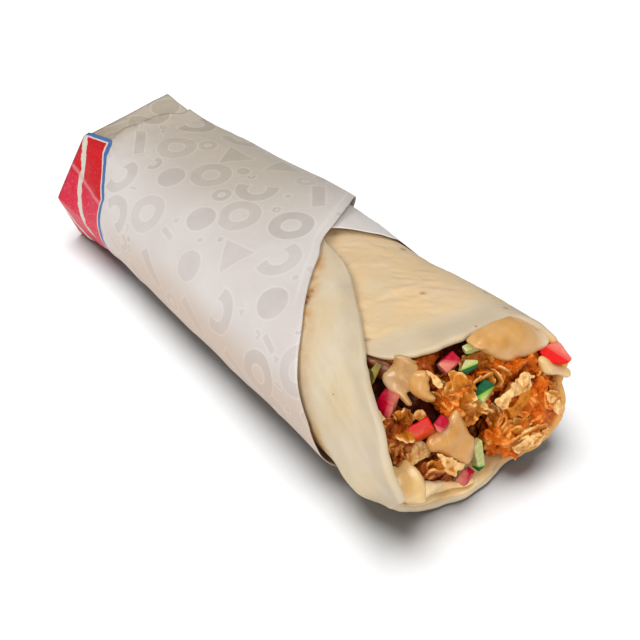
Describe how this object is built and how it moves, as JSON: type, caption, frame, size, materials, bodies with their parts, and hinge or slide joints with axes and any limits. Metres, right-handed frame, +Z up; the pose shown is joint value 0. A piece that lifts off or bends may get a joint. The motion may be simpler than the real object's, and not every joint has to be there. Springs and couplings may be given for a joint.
{
  "type": "chicken gyro",
  "caption": "Chicken gyro lying on its side: flatbread rolled round crisp chicken, sauce, diced tomato and cucumber, wrapped in printed paper that leaves the mouth open.",
  "frame": {"origin": "centre of the bounding box in plan, on the surface that the roll lies on", "axes": "+X along the roll towards its open mouth, +Y to the side of the flap that goes under, +Z up"},
  "size_m": [0.2177, 0.0852, 0.0567],
  "materials": {
    "paper": "matte waxed paper with a pale grey print",
    "flatbread": "soft floury bread, toasted at its folds",
    "chicken": "crisp fried crust with pale ruffled flakes",
    "sauce": "glossy creamy sauce",
    "tomato": "wet cut tomato with its skin on",
    "cucumber": "wet cut cucumber with its skin on"
  },
  "bodies": {
    "root": {"paper_wrapper": "paper", "flatbread": "flatbread", "tomato_wedge": "tomato", "tomato_dice_1": "tomato", "tomato_dice_2": "tomato", "tomato_dice_3": "tomato", "tomato_dice_4": "tomato", "tomato_dice_5": "tomato", "cucumber_dice_1": "cucumber", "cucumber_slice": "cucumber", "cucumber_stick_1": "cucumber", "cucumber_stick_2": "cucumber", "cucumber_dice_2": "cucumber", "sauce_top": "sauce", "sauce_far": "sauce", "sauce_middle": "sauce", "sauce_near": "sauce", "sauce_streak": "sauce", "chicken_piece_1": "chicken", "chicken_piece_2": "chicken", "chicken_piece_3": "chicken", "chicken_piece_4": "chicken", "chicken_piece_5": "chicken", "chicken_piece_6": "chicken", "filling": "chicken"}
  },
  "joints": []
}
